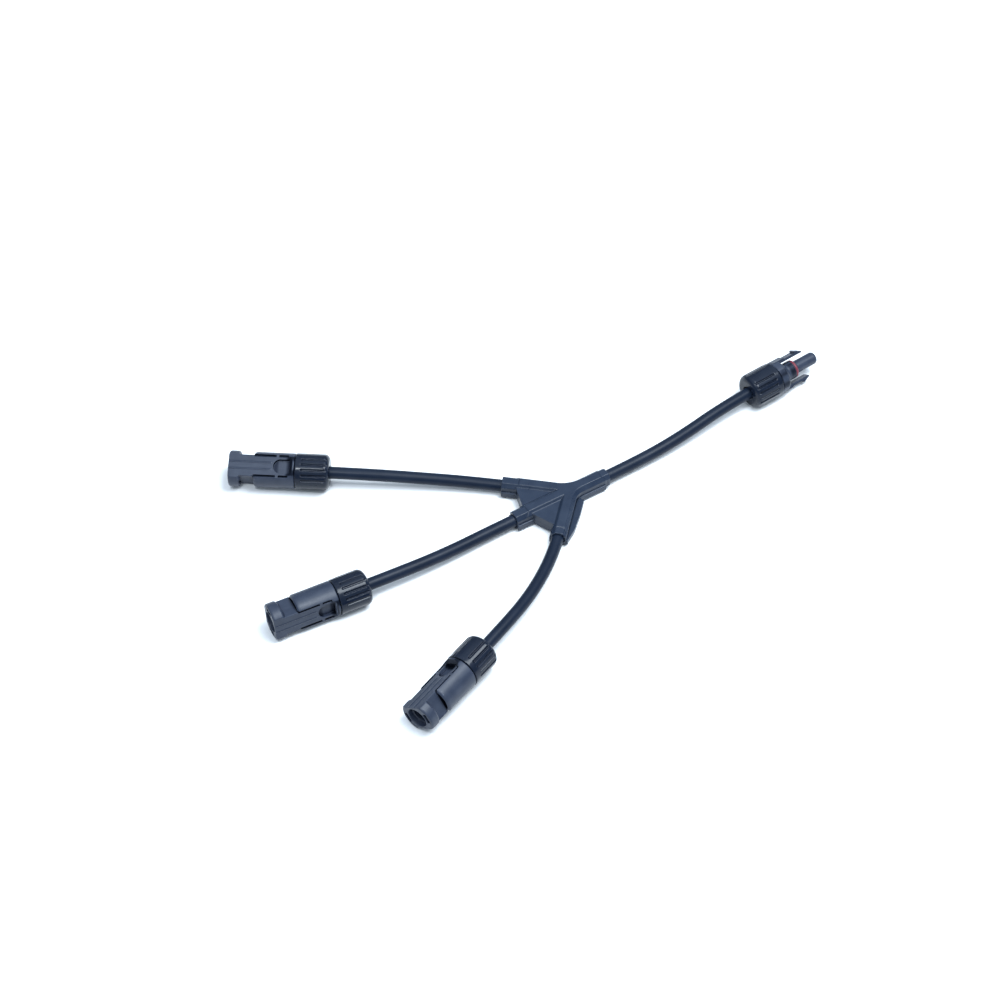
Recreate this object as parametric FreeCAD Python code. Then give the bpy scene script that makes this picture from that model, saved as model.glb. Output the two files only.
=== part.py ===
import FreeCAD, Part
import math
import os

# Three-into-one branch lead for solar panels. Three leads end in pin-contact
# connectors, a fourth in a socket-contact connector, and all four meet in a
# moulded splitter. Millimetres, +Z up, +X along the trunk lead. The origin is
# on the splitter's flat underside, where the axes of its four bosses cross.

V = FreeCAD.Vector
UP = V(0, 0, 1)

# Leads: solar cable with a copper conductor and an insulating jacket
JACKET_R = 3.25
JACKET_BORE_R = 1.55
CONDUCTOR_R = 1.5
LEAD_START = 14.0
CONDUCTOR_START = 4.6
TRUNK_LEAD_START = 12.5
LEAD_LEVEL = 5.0
BEND_SHARE = 0.45

# Splitter: a narrower ridge stands on a slightly wider base
SPLIT_HEIGHT = 10.0
SPLIT_CHAMFER = 2.0
BASE_HEIGHT = 4.7
BASE_CHAMFER = 1.5
BASE_LEDGE = 0.8
ARM_WIDTH = 8.2
ARM_REACH = 29.0
BOSS_WIDTH = 8.0
BOSS_DROP = 0.35
TRUNK_WIDTH = 8.4
TRUNK_REACH = 19.5
TRUNK_LIP_REACH = 22.4
WEB_DROP = 1.3
WEB_REACH_AB = (30.0, 28.6)
WEB_REACH_BC = (27.6, 26.6)
GUSSET = ((2.0, 0.0), (2.0, 7.7), (12.0, 7.7), (23.0, 6.8), (31.4, 4.6), (31.4, 0.0))
CROTCH_R = {"a": 16.0, "c": 9.0}
LEAD_HOLE_R = 3.3
FERRULE_R = 2.7
FERRULE_REACH = 10.5
FERRULE_GAP = 0.1
ARM_ANGLE = {"a": 139.5, "b": 180.0, "c": 226.0, "d": 0.0}
BOSS_END = {"a": 36.3, "b": 35.0, "c": 31.4}

# Connectors, along their own axis: x = 0 is the joint between housing and gland
# nut, +x points to the mating face, +y to the latches, +z out of the flat side.
# Each nut was tightened on its own, so its grooves stop at their own turn
CONNECTOR_LEVEL = 9.5
CONNECTORS = {
    "a": {"at": (-117.0, 85.5), "heading": 145.2, "roll": -22.0, "nut_turn": -14.5},
    "b": {"at": (-140.5, 1.2), "heading": 174.8, "roll": -82.0, "nut_turn": 45.0},
    "c": {"at": (-109.4, -71.6), "heading": 201.2, "roll": 36.0, "nut_turn": 35.0},
    "d": {"at": (136.1, 7.92), "heading": 3.7, "roll": 54.0, "nut_turn": 3.0},
}
JACKET_END = -0.5
CONDUCTOR_END = 6.0

# Gland: threaded spigot on the housing, seal, clamp cage and nut
SPIGOT_R = 7.75
SPIGOT_LENGTH = 12.5
SEAT_R = 5.5
SEAT_FLOOR = -1.0
SEAL_OUTER_R = 5.48
SEAL_WAIST_R = 5.15
SEAL_BORE_R = 3.27
SEAL_FROM = -10.5
SEAL_TO = -1.5
CAGE_BORE_R = 3.6
CAGE_RING_R = 5.15
CAGE_FLANGE_R = 6.9
CAGE_FINGER_R = 5.65
CAGE_TIP_R = 4.1
CAGE_FRONT = -10.8
CAGE_FLANGE = (-13.6, -12.8)
CAGE_TIP = -16.4
CAGE_FINGERS = 6
CAGE_SLOT = 0.9
NUT_R = 9.5
NUT_BORE_R = 7.83
NUT_FRONT = -0.3
NUT_REAR = -18.0
NUT_STEP = -14.0
NUT_HOLE_R = 3.6
NUT_LIP = -16.8
NUT_CONE_R = (4.2, 6.0)
NUT_CORNER_R = 3.0
GROOVE_R = 0.65
GROOVE_RISE = 0.08
GROOVE_FROM = -16.2
GROOVE_TO = -3.9
GROOVE_PITCH = 18.4
GROOVES_PER_GROUP = 5
GROOVE_GROUPS = 3

# Pin-contact housing
PIN_HOUSING_LENGTH = 35.0
SHELL_R = 9.3
HEAD_R = 9.5
HEAD_FROM = 28.5
FLAT_HALF = 6.6
COLLAR_R = 9.3
SCOOP_R = 5.0
SCOOP_AT = 5.4
NECK_HALF = 5.9
NECK_R = 8.7
NECK_FROM = 22.2
POCKET_R = 8.3
POCKET_FROM = 13.5
POCKET_HALF = 4.9
LATCH_SLOT = (6.1, 8.3)
LATCH_SLOT_HALF = 2.7
MOUTH_R = 5.4
MOUTH_DEPTH = 2.7
SEAL_BORE_MATE_R = 4.8
SEAL_BORE_DEPTH = 6.0
PROBE_WELL_R = 3.95
PROBE_WELL_DEPTH = 20.0
PANEL_GROOVE = 1.2
PANEL_GROOVE_DEPTH = 1.5
PANEL_GROOVE_AT = 5.65
PANEL_GROOVES = ((10.0, 21.7), (3.4, 8.5))
THUMB_R = 3.9
THUMB_DEPTH = 1.8
THUMB_FROM = 2.6
THUMB_TO = 11.4
RIB_WIDTH = 0.4
RIB_HEIGHT = 0.2
RIB_AT = 1.9
RIB_FROM = 12.4
CONTACT_BORE_R = 3.7
CONTACT_BORE_TO = 11.3
EDGE_BREAK = 0.4

# Contacts
BARREL_R = 2.6
BARREL_FROM = 0.2
BARREL_TO = 7.0
SHOULDER_R = 3.2
SHOULDER_TO = 8.0
JOURNAL_R = 2.4
JOURNAL_TO = 15.3
WEB_HOLE_R = 2.45
PIN_R = 2.0
PIN_TIP = 27.0
PIN_NOSE = 1.2
CLIP = {"from": 8.2, "to": 11.1, "inner": 2.7, "outer": 3.1, "tongue": 3.6, "slot": 1.2}
SOCKET_TIP = 27.1
SOCKET_BORE_R = 2.05
SOCKET_BORE_DEPTH = 14.0
BAND_RECESS = (18.1, 25.1)
BAND_RECESS_R = 2.3
BAND_OUTER_R = 2.27

# Socket-contact housing
PROBE_R = 3.5
PROBE_TIP = 28.1
PROBE_BORE_R = 2.7
SOCKET_COLLAR_R = 9.15
SOCKET_COLLAR_TO = 4.9
SOCKET_CONE_R = 7.0
SOCKET_CONE_TO = 7.5
BOSS_R = 5.2
BOSS_TO = 12.2
O_RING_MID_R = 4.25
O_RING_SECTION_R = 0.85
O_RING_AT = 13.08
O_RING_LIP = (14.0, 14.5)
O_RING_LIP_R = 3.95
O_RING_SEAT_R = 3.38
ARM_SLOT_FLOOR = 5.8
ARM_SLOT_HALF = 2.9
ARM_SLOT_FROM = 0.9

# Latch arms of the socket-contact housing
ARM = {"root": 1.3, "inner": 6.8, "outer": 8.2, "half": 2.4, "tip": 20.7}
ARM_PAD = {"outer": 8.85, "to": 9.3, "ramp": 0.8}
BARB = {"back": 16.0, "crest": 9.2, "land": 0.9}


def turned(profile):
    """Solid of revolution about x from (x, radius) points."""
    points = [V(x, 0, r) for x, r in profile]
    wire = Part.makePolygon(points + points[:1])
    return Part.Face(wire).revolve(V(0, 0, 0), V(1, 0, 0), 360)


def rod(radius, start, end, y=0.0, z=0.0):
    """Round bar along x."""
    return Part.makeCylinder(radius, end - start, V(start, y, z), V(1, 0, 0))


def ring(outer, inner, start, end):
    """Tube along x."""
    return rod(outer, start, end).cut(rod(inner, start - 1, end + 1))


def block(x, y, z):
    """Box from three (low, high) pairs."""
    return Part.makeBox(x[1] - x[0], y[1] - y[0], z[1] - z[0], V(x[0], y[0], z[0]))


def about_x(shape, degrees):
    """Copy turned about the x axis."""
    copy = shape.copy()
    copy.rotate(V(0, 0, 0), V(1, 0, 0), degrees)
    return copy


def one_solid(shape):
    """The single solid of a boolean result, with its seams merged."""
    clean = shape.removeSplitter()
    if len(clean.Solids) != 1:
        raise RuntimeError("piece is in %d solids" % len(clean.Solids))
    return clean.Solids[0]


def seat_in_place(shape, key):
    """Move a piece from its connector's own axes to its place in the lead."""
    spec = CONNECTORS[key]
    placed = shape.copy()
    placed.rotate(V(0, 0, 0), V(1, 0, 0), spec["roll"])
    placed.rotate(V(0, 0, 0), UP, spec["heading"])
    placed.translate(V(spec["at"][0], spec["at"][1], CONNECTOR_LEVEL))
    return placed


def gland_nut():
    """Cap nut: rounded rear shoulder, grip grooves in groups, inner cone."""
    r, c = NUT_R, NUT_CORNER_R
    arc_mid = V(NUT_REAR + c - c * math.sin(math.pi / 4), 0, r - c + c * math.cos(math.pi / 4))
    edges = [
        Part.LineSegment(V(NUT_FRONT, 0, NUT_BORE_R), V(NUT_FRONT, 0, r - EDGE_BREAK)),
        Part.LineSegment(V(NUT_FRONT, 0, r - EDGE_BREAK), V(NUT_FRONT - EDGE_BREAK, 0, r)),
        Part.LineSegment(V(NUT_FRONT - EDGE_BREAK, 0, r), V(NUT_REAR + c, 0, r)),
        Part.Arc(V(NUT_REAR + c, 0, r), arc_mid, V(NUT_REAR, 0, r - c)),
        Part.LineSegment(V(NUT_REAR, 0, r - c), V(NUT_REAR, 0, NUT_HOLE_R + EDGE_BREAK)),
        Part.LineSegment(V(NUT_REAR, 0, NUT_HOLE_R + EDGE_BREAK), V(NUT_REAR + EDGE_BREAK, 0, NUT_HOLE_R)),
        Part.LineSegment(V(NUT_REAR + EDGE_BREAK, 0, NUT_HOLE_R), V(NUT_LIP, 0, NUT_HOLE_R)),
        Part.LineSegment(V(NUT_LIP, 0, NUT_HOLE_R), V(NUT_LIP, 0, NUT_CONE_R[0])),
        Part.LineSegment(V(NUT_LIP, 0, NUT_CONE_R[0]), V(NUT_STEP, 0, NUT_CONE_R[1])),
        Part.LineSegment(V(NUT_STEP, 0, NUT_CONE_R[1]), V(NUT_STEP, 0, NUT_BORE_R)),
        Part.LineSegment(V(NUT_STEP, 0, NUT_BORE_R), V(NUT_FRONT, 0, NUT_BORE_R)),
    ]
    wire = Part.Wire([edge.toShape() for edge in edges])
    body = Part.Face(wire).revolve(V(0, 0, 0), V(1, 0, 0), 360)
    groove = rod(GROOVE_R, GROOVE_FROM, GROOVE_TO, 0, NUT_R + GROOVE_RISE)
    groove = groove.fuse(Part.makeSphere(GROOVE_R, V(GROOVE_TO, 0, NUT_R + GROOVE_RISE)))
    half = (GROOVES_PER_GROUP - 1) / 2.0
    for group in range(GROOVE_GROUPS):
        for step in range(GROOVES_PER_GROUP):
            turn = group * 360.0 / GROOVE_GROUPS + (step - half) * GROOVE_PITCH
            body = body.cut(about_x(groove, turn))
    return one_solid(body)


def clamp_cage():
    """Ring that presses the seal, with fingers that the nut closes on the lead."""
    root, tip = CAGE_FLANGE[0], CAGE_TIP
    body = turned([
        (CAGE_FRONT, CAGE_BORE_R), (CAGE_FRONT, CAGE_RING_R), (CAGE_FLANGE[1], CAGE_RING_R),
        (CAGE_FLANGE[1], CAGE_FLANGE_R), (root, CAGE_FLANGE_R),
        (root, CAGE_FINGER_R), (NUT_STEP, CAGE_FINGER_R), (tip, CAGE_TIP_R), (tip, CAGE_BORE_R),
    ])
    slot = block((tip - 1, root - 0.01), (-CAGE_SLOT / 2, CAGE_SLOT / 2), (0, NUT_R))
    for finger in range(CAGE_FINGERS):
        body = body.cut(about_x(slot, finger * 360.0 / CAGE_FINGERS))
    return one_solid(body)


def cable_seal():
    """Rubber sleeve with three sealing lips, squeezed between seat and lead."""
    length = SEAL_TO - SEAL_FROM
    lip = length / 7.0
    profile = [(SEAL_FROM, SEAL_BORE_R)]
    for index in range(7):
        radius = SEAL_OUTER_R if index % 3 == 0 else SEAL_WAIST_R
        profile.append((SEAL_FROM + index * lip, radius))
        profile.append((SEAL_FROM + (index + 1) * lip, radius))
    profile.append((SEAL_TO, SEAL_BORE_R))
    return one_solid(turned(profile))


def gland_spigot():
    """Rear of either housing: threaded spigot, seal seat and contact bore."""
    outer = turned([
        (-SPIGOT_LENGTH, 0), (-SPIGOT_LENGTH, SPIGOT_R - EDGE_BREAK),
        (-SPIGOT_LENGTH + EDGE_BREAK, SPIGOT_R), (0.5, SPIGOT_R), (0.5, 0),
    ])
    return outer


def gland_bores():
    """What is bored out of either housing from its rear."""
    seat = rod(SEAT_R, -SPIGOT_LENGTH - 1, SEAT_FLOOR)
    return seat.fuse(rod(CONTACT_BORE_R, SEAT_FLOOR - 1, CONTACT_BORE_TO))


def latch_side(shape):
    """The same feature on both latch sides."""
    return shape.fuse(about_x(shape, 180))


def pin_housing_outer():
    """Outer form: round collar, flat-sided shell, narrow neck and square head."""
    nose, brk = PIN_HOUSING_LENGTH, EDGE_BREAK
    collar = turned([(0, 0), (0, COLLAR_R - brk), (brk, COLLAR_R), (4.5, COLLAR_R), (4.5, 0)])
    shell = turned([
        (3.0, 0), (3.0, SHELL_R), (NECK_FROM - 2.0, SHELL_R), (NECK_FROM - 1.2, SHELL_R - 0.2),
        (NECK_FROM - 0.5, SHELL_R - 0.8), (NECK_FROM, SHELL_R - 2.0), (NECK_FROM, 0),
    ])
    neck = rod(NECK_R, NECK_FROM - 1, HEAD_FROM + 1)
    neck = neck.common(block((0, nose), (-NECK_HALF, NECK_HALF), (-FLAT_HALF, FLAT_HALF)))
    head = turned([
        (HEAD_FROM, 0), (HEAD_FROM, HEAD_R - 2.2), (HEAD_FROM + 1.0, HEAD_R - 0.3),
        (HEAD_FROM + 1.6, HEAD_R), (nose - 1.0, HEAD_R), (nose - 0.3, HEAD_R - 0.3),
        (nose, HEAD_R - 1.0), (nose, 0),
    ])
    body = shell.fuse(head)
    # each flat runs out to the collar in a scoop
    for side in (1, -1):
        flat = block((SCOOP_AT, nose + 1), (-12, 12), (FLAT_HALF, 14))
        scoop = Part.makeCylinder(SCOOP_R, 24, V(SCOOP_AT, -12, FLAT_HALF + SCOOP_R), V(0, 1, 0))
        tool = flat.fuse(scoop)
        if side < 0:
            tool = about_x(tool, 180)
        body = body.cut(tool)
        collar = collar.cut(tool)
    return body.fuse([neck, collar])


def pin_housing():
    """Housing of a pin-contact connector."""
    nose = PIN_HOUSING_LENGTH
    body = pin_housing_outer().fuse(gland_spigot())
    pocket = rod(POCKET_R, POCKET_FROM, NECK_FROM + 1)
    pocket = pocket.common(block((0, nose), (LATCH_SLOT[0], 12), (-POCKET_HALF, POCKET_HALF)))
    slot = block((HEAD_FROM - 1, nose + 1), LATCH_SLOT, (-LATCH_SLOT_HALF, LATCH_SLOT_HALF))
    tools = [latch_side(pocket), latch_side(slot)]
    for start, end in PANEL_GROOVES:
        for y in (PANEL_GROOVE_AT, -PANEL_GROOVE_AT):
            half = PANEL_GROOVE / 2
            groove = block((start, end), (y - half, y + half), (FLAT_HALF - PANEL_GROOVE_DEPTH, 12))
            tools += [groove, about_x(groove, 180)]
    floor = FLAT_HALF - THUMB_DEPTH
    thumb = block((THUMB_FROM, THUMB_TO - THUMB_R), (-THUMB_R, THUMB_R), (floor, 12))
    round_end = Part.makeCylinder(THUMB_R, 8, V(THUMB_TO - THUMB_R, 0, floor), UP)
    thumb = thumb.fuse(round_end)
    tools += [thumb, about_x(thumb, 180)]
    cavity = turned([
        (nose - PROBE_WELL_DEPTH, 0), (nose - PROBE_WELL_DEPTH, PROBE_WELL_R),
        (nose - SEAL_BORE_DEPTH - 0.6, PROBE_WELL_R), (nose - SEAL_BORE_DEPTH, SEAL_BORE_MATE_R),
        (nose - MOUTH_DEPTH - 0.3, SEAL_BORE_MATE_R), (nose - MOUTH_DEPTH, MOUTH_R),
        (nose - 0.3, MOUTH_R), (nose + 0.5, MOUTH_R + 0.8), (nose + 0.5, 0),
    ])
    tools += [cavity, gland_bores(), rod(WEB_HOLE_R, 10, nose - PROBE_WELL_DEPTH + 1)]
    for tool in tools:
        body = body.cut(tool)
    for y in (RIB_AT, -RIB_AT):
        half = RIB_WIDTH / 2
        rib = block((RIB_FROM, nose - 0.5), (y - half, y + half),
                    (FLAT_HALF - 0.2, FLAT_HALF + RIB_HEIGHT))
        body = body.fuse([rib, about_x(rib, 180)])
    return one_solid(body)


def crimp_barrel():
    """Rear of either contact: barrel for the conductor and retaining shoulder."""
    barrel = turned([
        (BARREL_FROM, 0), (BARREL_FROM, BARREL_R - 0.2), (BARREL_FROM + 0.2, BARREL_R),
        (BARREL_TO, BARREL_R), (BARREL_TO, SHOULDER_R), (SHOULDER_TO, SHOULDER_R), (SHOULDER_TO, 0),
    ])
    bore = rod(CONDUCTOR_R + 0.02, BARREL_FROM - 1, CONDUCTOR_END + 0.2)
    sight_hole = Part.makeCylinder(0.6, BARREL_R + 1, V(CONDUCTOR_END - 1.2, 0, 0), UP)
    return barrel.cut(bore.fuse(sight_hole))


def pin_contact():
    """Turned and plated pin contact."""
    front = turned([
        (SHOULDER_TO - 0.5, 0), (SHOULDER_TO - 0.5, BARREL_R), (CONTACT_BORE_TO, BARREL_R),
        (CONTACT_BORE_TO, JOURNAL_R), (JOURNAL_TO, JOURNAL_R), (JOURNAL_TO, PIN_R),
        (PIN_TIP - PIN_NOSE, PIN_R), (PIN_TIP - PIN_NOSE * 0.4, PIN_R * 0.82),
        (PIN_TIP, PIN_R * 0.4), (PIN_TIP, 0),
    ])
    return one_solid(crimp_barrel().fuse(front))


def socket_contact():
    """Turned and plated socket contact with a recess for its spring band."""
    front = rod(BARREL_R, SHOULDER_TO - 0.5, SOCKET_TIP)
    bore = rod(SOCKET_BORE_R, SOCKET_TIP - SOCKET_BORE_DEPTH, SOCKET_TIP + 1)
    lead_in = turned([
        (SOCKET_TIP - 0.4, 0), (SOCKET_TIP - 0.4, SOCKET_BORE_R),
        (SOCKET_TIP + 0.01, SOCKET_BORE_R + 0.35), (SOCKET_TIP + 0.01, 0),
    ])
    recess = rod(BAND_RECESS_R, BAND_RECESS[0], BAND_RECESS[1])
    return one_solid(crimp_barrel().fuse(front).cut(bore.fuse([lead_in, recess])))


def contact_band():
    """Louvred spring band that grips the mating pin."""
    start, end = BAND_RECESS[0] + 0.05, BAND_RECESS[1] - 0.05
    body = ring(BAND_OUTER_R, SOCKET_BORE_R, start, end)
    window = block((start + 1.2, end - 1.2), (-0.12, 0.12), (0, BAND_RECESS_R + 1))
    for index in range(10):
        body = body.cut(about_x(window, index * 36 + 18))
    return one_solid(body)


def retaining_clip():
    """Spring sleeve on the contact, with tongues that lock it in the housing."""
    start, end = CLIP["from"], CLIP["to"]
    body = ring(CLIP["outer"], CLIP["inner"], start, end)
    tongue = turned([
        (start + 0.6, CLIP["inner"] + 0.1), (start + 0.6, CLIP["tongue"]),
        (start + 1.0, CLIP["tongue"]), (end - 0.6, CLIP["outer"]), (end - 0.6, CLIP["inner"] + 0.1),
    ])
    sector = block((start, end), (-0.9, 0.9), (0, 5))
    for index in range(3):
        body = body.fuse(tongue.common(about_x(sector, index * 120)))
    gap = block((start - 1, end + 1), (-CLIP["slot"] / 2, CLIP["slot"] / 2), (0, 5))
    return one_solid(body.cut(about_x(gap, 180)))


def socket_housing():
    """Housing of the socket-contact connector: collar, boss and probe."""
    brk = EDGE_BREAK
    body = turned([
        (0, 0), (0, SOCKET_COLLAR_R - brk), (brk, SOCKET_COLLAR_R),
        (SOCKET_COLLAR_TO - 1.0, SOCKET_COLLAR_R), (SOCKET_COLLAR_TO - 0.3, SOCKET_COLLAR_R - 0.3),
        (SOCKET_COLLAR_TO, SOCKET_COLLAR_R - 1.0), (SOCKET_COLLAR_TO, SOCKET_CONE_R),
        (SOCKET_CONE_TO, BOSS_R),
        (BOSS_TO, BOSS_R), (BOSS_TO, O_RING_SEAT_R), (O_RING_LIP[0], O_RING_SEAT_R),
        (O_RING_LIP[0], O_RING_LIP_R), (O_RING_LIP[1], O_RING_LIP_R - 0.2), (O_RING_LIP[1], PROBE_R),
        (PROBE_TIP - 1.2, PROBE_R), (PROBE_TIP - 0.35, PROBE_R - 0.35), (PROBE_TIP, PROBE_R - 0.6),
        (PROBE_TIP, 0),
    ]).fuse(gland_spigot())
    arm_slot = block((ARM_SLOT_FROM, SOCKET_CONE_TO + 1), (ARM_SLOT_FLOOR, 12),
                     (-ARM_SLOT_HALF, ARM_SLOT_HALF))
    tools = [latch_side(arm_slot), gland_bores(), rod(PROBE_BORE_R, 10, PROBE_TIP + 1)]
    for tool in tools:
        body = body.cut(tool)
    return one_solid(body)


def o_ring():
    """Face seal ring behind the probe."""
    return Part.makeTorus(O_RING_MID_R, O_RING_SECTION_R, V(O_RING_AT, 0, 0), V(1, 0, 0))


def latch_arm():
    """Springy latch arm with an arrow-shaped barb, on the +y side."""
    outline = [
        (ARM["root"], ARM["inner"]), (ARM["tip"] - 0.3, ARM["inner"]), (ARM["tip"], ARM["inner"] + 0.3),
        (ARM["tip"], ARM["inner"] + 0.7), (BARB["back"] + BARB["land"], BARB["crest"]),
        (BARB["back"], BARB["crest"]), (BARB["back"], ARM["outer"]),
        (ARM_PAD["to"], ARM["outer"]), (ARM_PAD["to"] - ARM_PAD["ramp"], ARM_PAD["outer"]),
        (ARM["root"], ARM_PAD["outer"]),
    ]
    points = [V(x, y, -ARM["half"]) for x, y in outline]
    wire = Part.makePolygon(points + points[:1])
    return Part.Face(wire).extrude(V(0, 0, 2 * ARM["half"]))


def compass(degrees, distance, level):
    """Point at a heading and distance from the splitter's axis."""
    angle = math.radians(degrees)
    return V(distance * math.cos(angle), distance * math.sin(angle), level)


def on_connector_axis(key, x):
    """Point on a connector's axis, x from its housing joint."""
    spec = CONNECTORS[key]
    angle = math.radians(spec["heading"])
    return V(spec["at"][0] + x * math.cos(angle), spec["at"][1] + x * math.sin(angle), CONNECTOR_LEVEL)


def lead_route(key):
    """Corner points of a lead's centre line, from the splitter to its connector."""
    start = TRUNK_LEAD_START if key == "d" else LEAD_START
    begin = compass(ARM_ANGLE[key], start, LEAD_LEVEL)
    middle = {
        "a": [compass(139.5, 46.0, 5.0), V(-62.8, 49.2, 7.0), on_connector_axis("a", -31.5)],
        "b": [compass(180.0, 46.0, 5.0), V(-78.2, -1.9, 6.8), on_connector_axis("b", -31.0)],
        "c": [compass(226.0, 38.5, 5.0), V(-52.2, -46.4, 6.6), on_connector_axis("c", -31.0)],
        "d": [V(40.0, 0.0, 5.0), V(68.4, 0.9, 6.9), on_connector_axis("d", -31.0)],
    }[key]
    return [begin] + middle + [on_connector_axis(key, JACKET_END)]


def bends(points):
    """Start, middle, end and radius of the tangent arc at each corner of a route."""
    found = []
    for before, corner, after in zip(points, points[1:], points[2:]):
        arriving = (corner - before).normalize()
        leaving = (after - corner).normalize()
        turn = arriving.getAngle(leaving)
        reach = BEND_SHARE * min((corner - before).Length, (after - corner).Length)
        radius = reach / math.tan(turn / 2)
        inward = (leaving - arriving).normalize()
        middle = corner + inward * (radius / math.cos(turn / 2) - radius)
        found.append((corner - arriving * reach, middle, corner + leaving * reach, radius))
    return found


def lead_path(points, begin, end):
    """Wire of straight runs joined by the route's arcs, between two end points."""
    edges = []
    here = begin
    for start, middle, finish, _ in bends(points):
        edges.append(Part.LineSegment(here, start).toShape())
        edges.append(Part.Arc(start, middle, finish).toShape())
        here = finish
    edges.append(Part.LineSegment(here, end).toShape())
    return Part.Wire(edges)


def tube_along(path, start, heading, radius):
    """Solid round bar swept along a path."""
    circle = Part.Wire([Part.Circle(start, heading, radius).toShape()])
    return path.makePipeShell([circle], True, True)


def lead_pieces(key):
    """Jacket and copper conductor of one lead."""
    points = lead_route(key)
    heading = (points[1] - points[0]).normalize()
    path = lead_path(points, points[0], points[-1])
    outer = tube_along(path, points[0], heading, JACKET_R)
    jacket = outer.cut(tube_along(path, points[0], heading, JACKET_BORE_R))
    bare_start = compass(ARM_ANGLE[key], CONDUCTOR_START, LEAD_LEVEL)
    bare_end = on_connector_axis(key, CONDUCTOR_END)
    bare_path = lead_path(points, bare_start, bare_end)
    copper = tube_along(bare_path, bare_start, heading, CONDUCTOR_R)
    section = math.pi * (JACKET_R ** 2 - JACKET_BORE_R ** 2)
    print("lead", key, "length", round(path.Length, 1), "with bare ends", round(bare_path.Length, 1))
    print("  bend radii", [round(bend[3]) for bend in bends(points)])
    print("  jacket volume", round(jacket.Volume, 1), "section x length", round(section * path.Length, 1))
    return {"cable_%s_jacket" % key: jacket, "cable_%s_copper" % key: copper}


def along(key, shape):
    """Copy of a shape made along +x from the origin, turned to a splitter arm."""
    copy = shape.copy()
    copy.rotate(V(0, 0, 0), UP, ARM_ANGLE[key])
    return copy


def octagon_bar(width, start, end, drop=0.0):
    """Bar along x with chamfered long edges, standing on the splitter's base."""
    w, c = width / 2, SPLIT_CHAMFER
    low, high = drop, SPLIT_HEIGHT - drop
    corners = [
        (-w, low + c), (-w + c, low), (w - c, low), (w, low + c),
        (w, high - c), (w - c, high), (-w + c, high), (-w, high - c),
    ]
    points = [V(start, y, z) for y, z in corners]
    face = Part.Face(Part.makePolygon(points + points[:1]))
    return face.extrude(V(end - start, 0, 0))


def web(first, second, reach, drop):
    """Flat web that fills the corner between two arms."""
    corners = [
        V(2.0, 0, drop),
        compass(ARM_ANGLE[first], reach[0], drop),
        compass(ARM_ANGLE[second], reach[1], drop),
    ]
    face = Part.Face(Part.makePolygon(corners + corners[:1]))
    return face.extrude(V(0, 0, SPLIT_HEIGHT - 2 * drop))


def strip(key, width, reach):
    """Flat strip from the splitter's centre along one arm."""
    w = width / 2
    points = [V(0, -w, 0), V(reach, -w, 0), V(reach, w, 0), V(0, w, 0)]
    return along(key, Part.Face(Part.makePolygon(points + points[:1])))


def rounded_elbow(key, radius, ledge, reach):
    """Outline of the trunk and one arm with the inner corner rounded."""
    trunk = strip("d", TRUNK_WIDTH + 2 * ledge, TRUNK_REACH)
    arm = strip(key, ARM_WIDTH + 2 * ledge, reach[key])
    elbow = trunk.fuse(arm).removeSplitter().Faces[0]
    grown = elbow.makeOffset2D(radius, 0, False, False, False)
    return grown.makeOffset2D(-radius, 0, False, False, False).Faces[0]


def star_slab(ledge, reach, height, chamfer, rim_level):
    """Trunk and arms as one slab, chamfered along its rim at one level."""
    outline = rounded_elbow("a", CROTCH_R["a"], ledge, reach)
    straight = strip("b", ARM_WIDTH + 2 * ledge, reach["b"])
    others = [rounded_elbow("c", CROTCH_R["c"], ledge, reach), straight]
    outline = outline.fuse(others).removeSplitter().Faces[0]
    slab = outline.extrude(V(0, 0, height))
    rims = [edge for edge in slab.Edges if is_level(edge, rim_level)]
    return slab.makeChamfer(chamfer, rims)


def is_level(edge, level):
    """True for an edge that lies flat at a height."""
    box = edge.BoundBox
    return box.ZLength < 1e-6 and abs(box.ZMax - level) < 1e-6


def ridged_core():
    """The ridge with its chamfered top, on the base with its chamfered foot."""
    ridge_reach = dict.fromkeys(BOSS_END, ARM_REACH)
    ridge = star_slab(0.0, ridge_reach, SPLIT_HEIGHT, SPLIT_CHAMFER, SPLIT_HEIGHT)
    ridge = ridge.common(Part.makeBox(200, 200, SPLIT_HEIGHT, V(-100, -100, BASE_CHAMFER)))
    base = star_slab(BASE_LEDGE, BOSS_END, BASE_HEIGHT, BASE_CHAMFER, 0.0)
    return base.fuse(ridge)


def gusset():
    """Low gusset on the trunk side of the third arm."""
    points = [V(x, y, BASE_CHAMFER) for x, y in GUSSET]
    face = Part.Face(Part.makePolygon(points + points[:1]))
    return along("c", face.extrude(V(0, 0, BASE_HEIGHT - BASE_CHAMFER)))


def ferrule():
    """Crimped splice sleeve that joins the four conductors."""
    body = None
    for key in ARM_ANGLE:
        leg = Part.makeCylinder(FERRULE_R, FERRULE_REACH, V(0, 0, LEAD_LEVEL), V(1, 0, 0))
        leg = along(key, leg)
        body = leg if body is None else body.fuse(leg)
    body = body.fuse(Part.makeSphere(FERRULE_R + 0.3, V(0, 0, LEAD_LEVEL)))
    for key in ARM_ANGLE:
        hole = Part.makeCylinder(CONDUCTOR_R + 0.02, 20, V(CONDUCTOR_START - 0.2, 0, LEAD_LEVEL), V(1, 0, 0))
        body = body.cut(along(key, hole))
    return one_solid(body)


def ferrule_cavity():
    """Space that the splice sleeve takes in the moulding."""
    body = Part.makeSphere(FERRULE_R + 0.3 + FERRULE_GAP, V(0, 0, LEAD_LEVEL))
    for key in ARM_ANGLE:
        reach = FERRULE_REACH + FERRULE_GAP
        leg = Part.makeCylinder(FERRULE_R + FERRULE_GAP, reach, V(0, 0, LEAD_LEVEL), V(1, 0, 0))
        body = body.fuse(along(key, leg))
    return body


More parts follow.
